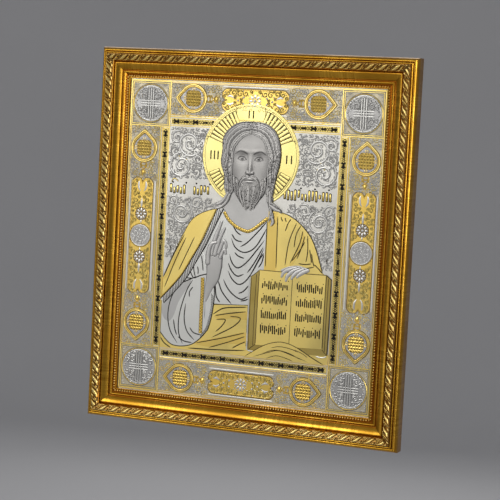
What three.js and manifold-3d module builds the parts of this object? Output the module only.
// Framed icon panel: an engraved, partly gilt metal plate in a carved gilt frame.
// Millimetres, +X right, +Z up. The panel faces -Y and the wall is at Y = 0.
// The origin is on the back of the hanger, where the panel meets the wall.

import * as THREE from 'three';
import { mergeVertices } from 'three/addons/utils/BufferGeometryUtils.js';
import Module from 'manifold-3d';

const wasm = await Module();
wasm.setup();

// Driving dimensions
const GAP = 0.3;              // between pieces that touch
const SIGHT_WIDTH = 300;      // plate seen inside the frame
const SIGHT_HEIGHT = 350;
const LIP_COVER = 3;          // plate and board hidden under the frame's lip
const PLATE_THICKNESS = 1.5;
const BOARD_THICKNESS = 3;

// Frame moulding: s runs outward from the sight edge, h forward from the plate's face
const RAIL_OUTER = 33.5;
const RAIL_BACK = -10;
const REBATE = 4;
const RAIL_SECTION = [
  [REBATE, RAIL_BACK], [RAIL_OUTER, RAIL_BACK],
  // outer roll, groove and thin bead
  [33.5, 0.5], [33.1, 4.5], [31.9, 7.8], [30.2, 9.2], [28.7, 8.6], [28.3, 10.3], [27.3, 10.7],
  // ground of the leaf ornament
  [26.3, 10.2], [25.3, 12.5], [19.2, 10.6], [18.3, 9.2], [17.6, 7.8],
  // plain band
  [16.2, 8.6], [12.8, 7.3], [9.5, 5.2], [9.0, 3.6], [7.9, 3.4],
  // fillet, bead row and lip
  [7.2, 4.4], [5.8, 4.4], [4.8, 3.2], [3.6, 3.1], [3.1, 4.9], [2.2, 5.5], [1.3, 4.9],
  [0.9, 3.6], [0, 3.3], [0, GAP], [REBATE, GAP],
];
const LEAF_PERIOD = 29;       // a broad leaf and a curled leaf
const LEAF_CENTRE = 22.2;     // s of the ornament's middle line
const LEAF_FOOT = 10.2;       // h
const LEAF_TOP = 14.4;
const LEAF_TAPER = 0.55;      // top outline over foot outline
const LEAF_LEAN = 0.31;       // rise across the rail, as its ground rises

// Plate layout: u right and v up from the middle of the sight, h forward
const ROOT = 0.4;             // raised work reaches this deep into the plate
const EDGE_SLOPE = 0.9;       // and its walls lean in by this much
const FIELD_HALF_WIDTH = 99.5;
const FIELD_HALF_HEIGHT = 123.5;
const CORNER = { u: 124.3, v: 148, halfWidth: 24.3, halfHeight: 25, ring: 20.8 };
const BAND = { u: 130, v: 155.5, innerU: 111.5, innerV: 137, edgeU: 147.2, edgeV: 171.8 };
const STRIP = { u: 104.7, v: 129.3 };
const FILLET_WIDTH = 1.4;
const FILLET_SLOPE = 0.5;
const FILLET_HEIGHT = 0.8;
const MEDALLION = { fromMiddleU: 73, fromMiddleV: 98, radius: 15.8, tip: 20.4, rim: 2.6 };
const PANEL = { halfLong: 65, halfShort: 39, halfWidth: 12.8 };
const ROUNDEL_RADIUS = 12.4;
const HALO = { u: -2.2, v: 96.2, radius: 56.5, rim: 2.2 };

// Wall hanger
const HANGER = { width: 45, height: 8, thickness: 0.9, bridge: 12, step: 3, stand: 2.1 };
const HANGER_TEETH = 7;
const NAIL = { head: 2.2, headThick: 0.9, shank: 0.8, hole: 1.15, length: 7, x: 19 };

// Places along Y, from the wall forward
const FRAME_BACK = -(HANGER.stand + HANGER.thickness + GAP);
const PLATE_FACE = FRAME_BACK + RAIL_BACK;
const SIGHT_CENTRE_Z = -(SIGHT_HEIGHT / 2 + (REBATE + RAIL_OUTER) / 2);

const material = (color, roughness, metalness) =>
  new THREE.MeshStandardMaterial({ color, roughness, metalness, flatShading: true });
const GILT_WOOD = material(0xb58a35, 0.38, 0.75);
const PLATE_METAL = material(0xcbc3a6, 0.33, 0.85);
const BOARD = material(0x6b5138, 0.85, 0);
const ZINC = material(0x9c9a94, 0.42, 0.9);

// Closed solids from geometries, for joining and cutting. Triangles with no area are left out.
function solid(geometry) {
  geometry.deleteAttribute('normal');
  geometry.deleteAttribute('uv');
  const merged = mergeVertices(geometry, 1e-4);
  const corners = [];
  for (let i = 0; i < merged.index.count; i += 3) {
    const [a, b, c] = merged.index.array.slice(i, i + 3);
    if (a !== b && b !== c && c !== a) corners.push(a, b, c);
  }
  return new wasm.Manifold(new wasm.Mesh({
    numProp: 3,
    vertProperties: new Float32Array(merged.attributes.position.array),
    triVerts: new Uint32Array(corners),
  }));
}

function fromSolid(body) {
  const { vertProperties, triVerts } = body.getMesh();
  const geometry = new THREE.BufferGeometry();
  geometry.setAttribute('position', new THREE.BufferAttribute(new Float32Array(vertProperties), 3));
  geometry.setIndex(new THREE.BufferAttribute(new Uint32Array(triVerts), 1));
  geometry.computeVertexNormals();
  return geometry;
}

const joined = (bodies) => bodies.reduce((whole, body) => whole.add(body));

// A path's points, anticlockwise, without those that fall on their neighbour
function points(path, segments) {
  const all = path.getPoints(segments);
  const apart = all.filter((p, i) => p.distanceTo(all[(i + 1) % all.length]) > 1e-3);
  return THREE.ShapeUtils.isClockWise(apart) ? apart.reverse() : apart;
}

// A shape drawn in u and v, from one height to another above the plate's face
function slab(shape, low, high, segments = 8) {
  const outline = new THREE.Shape(points(shape, segments));
  const geometry = new THREE.ExtrudeGeometry(outline, { depth: high - low, bevelEnabled: false });
  geometry.translate(0, 0, low);
  geometry.rotateX(Math.PI / 2);
  return geometry;
}

// A shape raised from the plate's face, its walls leaning in towards the top
function raised(shape, high, slope = EDGE_SLOPE, segments = 8) {
  const outline = new THREE.Shape(points(shape, segments));
  outline.holes = shape.holes.map((hole) => new THREE.Path(points(hole, segments)));
  const geometry = new THREE.ExtrudeGeometry(outline, {
    depth: 0, bevelEnabled: true, bevelSegments: 1,
    bevelThickness: high, bevelSize: slope, bevelOffset: -slope,
  });
  const position = geometry.attributes.position;
  for (let i = 0; i < position.count; i += 1) {
    position.setZ(i, Math.max(position.getZ(i), -ROOT));
  }
  geometry.rotateX(Math.PI / 2);
  return geometry;
}

// Outlines
function polygon(corners) {
  return new THREE.Shape(corners.map(([x, y]) => new THREE.Vector2(x, y)));
}

function rectangle(u, v, halfWidth, halfHeight) {
  return polygon([
    [u - halfWidth, v - halfHeight], [u + halfWidth, v - halfHeight],
    [u + halfWidth, v + halfHeight], [u - halfWidth, v + halfHeight],
  ]);
}

function rectangleRing(u, v, halfWidth, halfHeight, width) {
  const shape = rectangle(u, v, halfWidth, halfHeight);
  shape.holes.push(rectangle(u, v, halfWidth - width, halfHeight - width));
  return shape;
}

function disc(u, v, radius) {
  return new THREE.Shape().absarc(u, v, radius, 0, 2 * Math.PI, false);
}

function ring(u, v, radius, width) {
  const shape = disc(u, v, radius);
  shape.holes.push(disc(u, v, radius - width));
  return shape;
}

// A cross or star: arms of one radius, hollows of another, turned by an angle
function star(u, v, arms, outer, inner, turn = 0) {
  const corners = Array.from({ length: 2 * arms }, (_, i) => {
    const angle = turn + i * Math.PI / arms;
    const radius = i % 2 ? inner : outer;
    return [u + radius * Math.cos(angle), v + radius * Math.sin(angle)];
  });
  return polygon(corners);
}

// Turns and moves an outline drawn about its own middle
function placed(shape, u, v, angle = 0) {
  const c = Math.cos(angle);
  const s = Math.sin(angle);
  const move = (p) => new THREE.Vector2(u + c * p.x - s * p.y, v + s * p.x + c * p.y);
  const moved = new THREE.Shape(points(shape, 3).map(move));
  moved.holes = shape.holes.map((hole) => new THREE.Path(points(hole, 3).map(move)));
  return moved;
}

// A round medallion drawn up to a point, its point up
function ogee(radius, tip) {
  const lean = 0.62;   // radians from the vertical where the point leaves the circle
  const x = radius * Math.sin(lean);
  const y = radius * Math.cos(lean);
  const hollow = y + 0.42 * (tip - y);
  const shape = new THREE.Shape();
  shape.moveTo(0, tip);
  shape.lineTo(0.38 * x, hollow);
  shape.absarc(0, 0, radius, Math.PI / 2 - lean, -Math.PI / 2, true);
  shape.absarc(0, 0, radius, -Math.PI / 2, -1.5 * Math.PI + lean, true);
  shape.lineTo(-0.38 * x, hollow);
  return shape;
}

function ogeeRing({ radius, tip, rim }) {
  const shape = ogee(radius, tip);
  shape.holes.push(ogee(radius - rim, tip - 1.5 * rim));
  return shape;
}

// A long panel whose two ends are drawn as hearts, along v
function heartPanel(halfLength, halfWidth) {
  const lobe = halfWidth / 2;
  const shape = new THREE.Shape();
  shape.moveTo(halfWidth, lobe - halfLength);
  shape.lineTo(halfWidth, halfLength - lobe);
  shape.absarc(lobe, halfLength - lobe, lobe, 0, Math.PI, false);
  shape.absarc(-lobe, halfLength - lobe, lobe, 0, Math.PI, false);
  shape.lineTo(-halfWidth, lobe - halfLength);
  shape.absarc(-lobe, lobe - halfLength, lobe, Math.PI, 2 * Math.PI, false);
  shape.absarc(lobe, lobe - halfLength, lobe, Math.PI, 2 * Math.PI, false);
  return shape;
}

// A smooth closed outline through a few points
function smooth(marks) {
  const curve = new THREE.CatmullRomCurve3(
    marks.map(([x, y]) => new THREE.Vector3(x, y, 0)), true, 'centripetal');
  const count = Math.round(1.25 * marks.length);
  return new THREE.Shape(curve.getPoints(count).map((p) => new THREE.Vector2(p.x, p.y)));
}

// Frame rails
function railGeometry(sightLength) {
  const section = polygon(RAIL_SECTION);
  const geometry = new THREE.ExtrudeGeometry(section, { depth: 1, bevelEnabled: false });
  const mitreGap = GAP / Math.SQRT2;
  const position = geometry.attributes.position;
  for (let i = 0; i < position.count; i += 1) {
    const s = position.getX(i);
    const h = position.getY(i);
    const side = position.getZ(i) > 0.5 ? 1 : -1;
    position.setXYZ(i, side * (sightLength / 2 + s - mitreGap), -h, s);
  }
  return geometry;
}

// Leaf outlines along the rail x and across it z, about the leaf's middle
const BROAD_LEAF = [[-6.4, -0.6], [-3.4, -2.5], [5.6, -2.2], [2.6, 0], [5.4, 2.4], [-3.4, 2.4]];
const CURLED_LEAF = [[-5.8, 1.6], [-4.2, -2.4], [3.2, -2.6], [6.2, 1.8], [0.4, 0.8]];

// A carved leaf: its outline at the foot, drawn in towards the top
function leafSolid(outline, x) {
  const geometry = new THREE.ExtrudeGeometry(polygon(outline), { depth: 1, bevelEnabled: false });
  const position = geometry.attributes.position;
  for (let i = 0; i < position.count; i += 1) {
    const top = position.getZ(i) > 0.5;
    const taper = top ? LEAF_TAPER : 1;
    const across = taper * position.getY(i);
    const h = (top ? LEAF_TOP : LEAF_FOOT) + LEAF_LEAN * across;
    position.setXYZ(i, x + taper * position.getX(i), -h, LEAF_CENTRE + across);
  }
  return solid(geometry);
}

function ornament(sightLength) {
  const length = sightLength + 2 * LEAF_CENTRE;
  const count = Math.round(length / LEAF_PERIOD);
  const period = length / count;
  const leaves = [];
  for (let i = 0; i < count; i += 1) {
    const start = (i - count / 2) * period;
    leaves.push(leafSolid(BROAD_LEAF, start + 0.25 * period));
    leaves.push(leafSolid(CURLED_LEAF, start + 0.75 * period));
  }
  return joined(leaves);
}

function nailHole(x, z) {
  const depth = NAIL.length + GAP;
  const bore = new THREE.CylinderGeometry(NAIL.hole, NAIL.hole, depth + 1, 10);
  bore.translate(x, -RAIL_BACK - depth / 2 + 0.5, z);
  return solid(bore);
}

function rail(name, sightLength, across, turn, holes = []) {
  const whole = solid(railGeometry(sightLength)).add(ornament(sightLength));
  const bored = holes.reduce((body, hole) => body.subtract(hole), whole);
  const mesh = new THREE.Mesh(fromSolid(bored), GILT_WOOD);
  mesh.name = name;
  mesh.rotation.y = turn;
  mesh.position.set(across * Math.sin(turn), 0, across * Math.cos(turn));
  return mesh;
}

// Raised work of the plate
const both = [-1, 1];

function cornerSquares() {
  const parts = [];
  for (const a of both) {
    for (const b of both) {
      const u = a * CORNER.u;
      const v = b * CORNER.v;
      const outer = rectangleRing(u, v, CORNER.halfWidth, CORNER.halfHeight, FILLET_WIDTH);
      const inner = rectangleRing(u, v, CORNER.halfWidth - 2.4, CORNER.halfHeight - 2.4, FILLET_WIDTH);
      parts.push(raised(outer, FILLET_HEIGHT, FILLET_SLOPE));
      parts.push(raised(inner, FILLET_HEIGHT, FILLET_SLOPE));
      parts.push(raised(ring(u, v, CORNER.ring, FILLET_WIDTH), FILLET_HEIGHT, FILLET_SLOPE, 7));
      parts.push(raised(rectangle(u, v, 3.2, 17.5), 0.7));
      parts.push(raised(rectangle(u, v, 17.5, 3.2), 0.6));
    }
  }
  return parts;
}

function medallion(u, v, angle) {
  const { radius } = MEDALLION;
  const lattice = polygon([
    [7.4, 4.6], [4.6, 4.6], [4.6, 7.4], [-4.6, 7.4], [-4.6, 4.6], [-7.4, 4.6],
    [-7.4, -4.6], [-4.6, -4.6], [-4.6, -7.4], [4.6, -7.4], [4.6, -4.6], [7.4, -4.6],
  ]);
  const knot = polygon([
    [-5.5, 2 - radius], [5.5, 2 - radius], [4.2, -radius - 4.5], [0, -radius - 7.5], [-4.2, -radius - 4.5],
  ]);
  const diamond = star(0, -radius - 11.5, 2, 3.6, 2.4);
  return [
    raised(placed(ogeeRing(MEDALLION), u, v, angle), 0.9),
    raised(placed(lattice, u, v, angle), 0.8),
    raised(placed(knot, u, v, angle), 0.7),
    raised(placed(diamond, u, v, angle), 0.7),
  ];
}

function medallions() {
  const parts = [];
  for (const a of both) {
    for (const b of both) {
      parts.push(...medallion(a * BAND.u, b * MEDALLION.fromMiddleV, b > 0 ? 0 : Math.PI));
      parts.push(...medallion(a * MEDALLION.fromMiddleU, b * BAND.v, -a * Math.PI / 2));
    }
  }
  return parts;
}

function goldPanels() {
  const parts = [];
  for (const a of both) {
    const u = a * BAND.u;
    parts.push(raised(placed(heartPanel(PANEL.halfLong, PANEL.halfWidth), u, 0), 0.5));
    parts.push(raised(disc(u, 0, ROUNDEL_RADIUS), 0.9));
    const v = a * BAND.v;
    const across = heartPanel(PANEL.halfShort, PANEL.halfWidth - 0.6);
    parts.push(raised(placed(across, 0, v, Math.PI / 2), 0.5));
    for (const b of both) {
      parts.push(raised(star(u, b * 23.5, 4, 7.5, 5), 0.8));
      parts.push(raised(star(u, b * 54, 3, 6.5, 4.5), 0.8));
      parts.push(raised(star(b * 29, v, 4, 7, 5), 0.8));
    }
  }
  parts.push(raised(star(0, -BAND.v, 4, 7.6, 5), 0.8));
  return parts;
}

// Fillets that bound the bands, the strips and the field, between the corner squares
function fillets() {
  const parts = [];
  const lengthU = CORNER.u - CORNER.halfWidth;
  const lengthV = CORNER.v - CORNER.halfHeight;
  const acrossU = [BAND.edgeU + 1, BAND.innerU - 1.5, STRIP.u - 4.1];
  const acrossV = [BAND.edgeV + 1, BAND.innerV - 1.8, STRIP.v - 4.2];
  for (const a of both) {
    for (const u of acrossU) {
      parts.push(raised(rectangle(a * u, 0, FILLET_WIDTH / 2, lengthV), FILLET_HEIGHT, FILLET_SLOPE));
    }
    for (const v of acrossV) {
      parts.push(raised(rectangle(0, a * v, lengthU, FILLET_WIDTH / 2), FILLET_HEIGHT, FILLET_SLOPE));
    }
  }
  return parts;
}

// Halo: disc, rim and a cross of three plain arms
function halo() {
  const { u, v, radius, rim } = HALO;
  return [
    raised(disc(u, v, radius - 1), 0.7, EDGE_SLOPE, 12),
    raised(ring(u, v, radius, rim), 1, EDGE_SLOPE, 12),
    raised(rectangle(u, v + radius / 2, 16.5, radius / 2 - 3), 0.9),
    raised(rectangle(u, v, radius - 3, 19), 0.9),
  ];
}

// The figure in flat layers, each one a little prouder than the one behind it
function figure() {
  const left = -FIELD_HALF_WIDTH;
  const right = FIELD_HALF_WIDTH;
  const low = -FIELD_HALF_HEIGHT + 1;
  const mantle = polygon([
    [left, low], [right, low], [right, -31], [88, -24], [81, -4], [72, 13], [61, 26], [48, 33], [30, 38],
    [-30, 38], [-49, 33.5], [-63, 26], [-73, 13], [-81, -6], [-91, -27], [left, -44],
  ]);
  const tunic = polygon([
    [-30, 33], [-17, 20], [-2, 14], [10, 19], [22, 30], [21, -34], [5, -68], [-36, -68], [-44, -36],
    [-62, -22],
  ]);
  const sleeve = smooth([
    [-98, -66], [-78, -48], [-50, -36], [-38, -52], [-40, -88], [-50, -108], [-74, -119], [-97, -106],
  ]);
  const hand = smooth([
    [-31, 22], [-28, 10], [-24, -4], [-23, -22], [-31, -38], [-42, -50], [-46, -30], [-47, -8], [-38, 8],
  ]);
  const book = polygon([
    [5, -35], [15.5, -27], [93, -26.5], [98.8, -31], [98.2, -114], [92, -120], [66, -108], [42, -104],
    [20, -109], [6, -117],
  ]);
  const pages = polygon([[16, -29], [92.5, -28.5], [92, -106], [66, -106], [42, -102], [20, -107]]);
  const fingers = smooth([[40, -24], [54, -20], [72, -23], [60, -33], [47, -37]]);
  const hair = smooth([
    [-2, 133.5], [20, 127], [31.5, 112], [33, 92], [27, 66], [29, 50], [38, 38], [27, 22], [20, 40],
    [-19, 40], [-31, 37], [-36, 44], [-28, 60], [-34, 84], [-34.5, 106], [-22, 127],
  ]);
  const face = smooth([
    [-1, 122], [14, 116], [21, 100], [19, 76], [9, 52], [-1, 46], [-11, 52], [-21, 76], [-23, 100],
    [-16, 116],
  ]);
  const neck = polygon([[-19, 46], [17, 46], [22, 30], [9, 19], [-2, 15], [-16, 21], [-29, 34]]);
  return [
    raised(mantle, 0.9), raised(tunic, 1), raised(sleeve, 1.2),
    raised(hand, 1.4), raised(book, 1.1), raised(pages, 1.3),
    raised(fingers, 1.6), raised(neck, 1.1), raised(hair, 1.3), raised(face, 1.6),
  ];
}

function iconPlate() {
  const sheet = new THREE.BoxGeometry(
    SIGHT_WIDTH + 2 * LIP_COVER, PLATE_THICKNESS, SIGHT_HEIGHT + 2 * LIP_COVER);
  sheet.translate(0, PLATE_THICKNESS / 2, 0);
  const work = [...cornerSquares(), ...medallions(), ...goldPanels(), ...fillets(), ...halo(), ...figure()];
  const mesh = new THREE.Mesh(fromSolid(joined([solid(sheet), ...work.map(solid)])), PLATE_METAL);
  mesh.name = 'icon_plate';
  return mesh;
}

// Back of the frame
function backingBoard() {
  const board = new THREE.BoxGeometry(
    SIGHT_WIDTH + 2 * LIP_COVER, BOARD_THICKNESS, SIGHT_HEIGHT + 2 * LIP_COVER);
  const mesh = new THREE.Mesh(board, BOARD);
  mesh.name = 'backing_board';
  mesh.position.y = PLATE_THICKNESS + GAP + BOARD_THICKNESS / 2;
  return mesh;
}

// Flat tabs driven into the rebate wall, lying on the board: x along the rail, z outward
function retainingTabs() {
  const width = 6;       // half
  const reach = 9;       // inward from the sight edge
  const thickness = 0.8;
  const lows = PLATE_THICKNESS + BOARD_THICKNESS + 2 * GAP;
  const outline = new THREE.Shape();
  outline.moveTo(width, REBATE - GAP);
  outline.lineTo(-width, REBATE - GAP);
  outline.lineTo(-width, width - reach);
  outline.absarc(0, width - reach, width, Math.PI, 2 * Math.PI, false);
  const tabs = [];
  const sides = [
    [SIGHT_HEIGHT / 2, 0, 80], [SIGHT_WIDTH / 2, Math.PI / 2, 95],
    [SIGHT_HEIGHT / 2, Math.PI, 80], [SIGHT_WIDTH / 2, -Math.PI / 2, 95],
  ];
  for (const [across, turn, along] of sides) {
    for (const side of both) {
      const tab = new THREE.Mesh(slab(outline, -thickness, 0, 3), ZINC);
      tab.name = `retaining_tab_${tabs.length + 1}`;
      tab.rotation.y = turn;
      tab.position.set(across * Math.sin(turn), lows, across * Math.cos(turn));
      tab.translateX(side * along);
      tabs.push(tab);
    }
  }
  return tabs;
}

// Sawtooth hanger: a strip with nailed feet and a toothed bridge that stands off the rail
function hangerPlate() {
  const { width, height, thickness, bridge, step, stand } = HANGER;
  const end = width / 2;
  const front = (x, y) => [[x, y], [x, y + thickness]];
  const [footBack, footFace] = front(end, -stand - thickness);
  const lower = [[-end, footBack[1]], [-bridge - step, footBack[1]], [-bridge, -thickness],
    [bridge, -thickness], [bridge + step, footBack[1]], [end, footBack[1]]];
  const upper = [[end, footFace[1]], [bridge + step, footFace[1]], [bridge, 0], [-bridge, 0],
    [-bridge - step, footFace[1]], [-end, footFace[1]]];
  const strip = new THREE.ExtrudeGeometry(
    polygon([...lower, ...upper]), { depth: height, bevelEnabled: false });
  strip.translate(0, 0, -height / 2);
  const pitch = 2 * bridge / HANGER_TEETH;
  const tooth = polygon([[-pitch * 0.45, -1], [pitch * 0.45, -1], [0, 1.6]]);
  let body = solid(strip);
  for (let i = 0; i < HANGER_TEETH; i += 1) {
    const notch = new THREE.ExtrudeGeometry(tooth, { depth: 3, bevelEnabled: false });
    notch.rotateX(Math.PI / 2);
    notch.translate(pitch * (i - (HANGER_TEETH - 1) / 2), 1, -height / 2);
    body = body.subtract(solid(notch));
  }
  for (const side of both) {
    const bore = new THREE.CylinderGeometry(NAIL.hole, NAIL.hole, 3, 10);
    bore.translate(side * NAIL.x, -stand - thickness / 2, 0);
    body = body.subtract(solid(bore));
  }
  const mesh = new THREE.Mesh(fromSolid(body), ZINC);
  mesh.name = 'hanger_plate';
  return mesh;
}

function hangerNail(name, x) {
  const headFace = -HANGER.stand + GAP + NAIL.headThick;
  const headFoot = headFace - NAIL.headThick;
  const tip = FRAME_BACK - NAIL.length + 0.2;
  const profile = [[0, tip], [NAIL.shank, tip + 1.5], [NAIL.shank, headFoot], [NAIL.head, headFoot],
    [NAIL.head * 0.85, headFace], [0, headFace]];
  const lathe = new THREE.LatheGeometry(profile.map(([r, y]) => new THREE.Vector2(r, y)), 8);
  const mesh = new THREE.Mesh(fromSolid(solid(lathe)), ZINC);
  mesh.name = name;
  mesh.position.x = x;
  return mesh;
}

// Assembly
const holeRise = (REBATE + RAIL_OUTER) / 2;
const panel = new THREE.Group();
panel.position.set(0, PLATE_FACE, SIGHT_CENTRE_Z);
panel.add(
  rail('frame_rail_top', SIGHT_WIDTH, SIGHT_HEIGHT / 2, 0, both.map((side) => nailHole(side * NAIL.x, holeRise))),
  rail('frame_rail_right', SIGHT_HEIGHT, SIGHT_WIDTH / 2, Math.PI / 2),
  rail('frame_rail_bottom', SIGHT_WIDTH, SIGHT_HEIGHT / 2, Math.PI),
  rail('frame_rail_left', SIGHT_HEIGHT, SIGHT_WIDTH / 2, -Math.PI / 2),
  iconPlate(),
  backingBoard(),
  ...retainingTabs(),
);

const framedIcon = new THREE.Group();
framedIcon.add(
  panel, hangerPlate(), hangerNail('hanger_nail_left', -NAIL.x), hangerNail('hanger_nail_right', NAIL.x));

export default framedIcon;
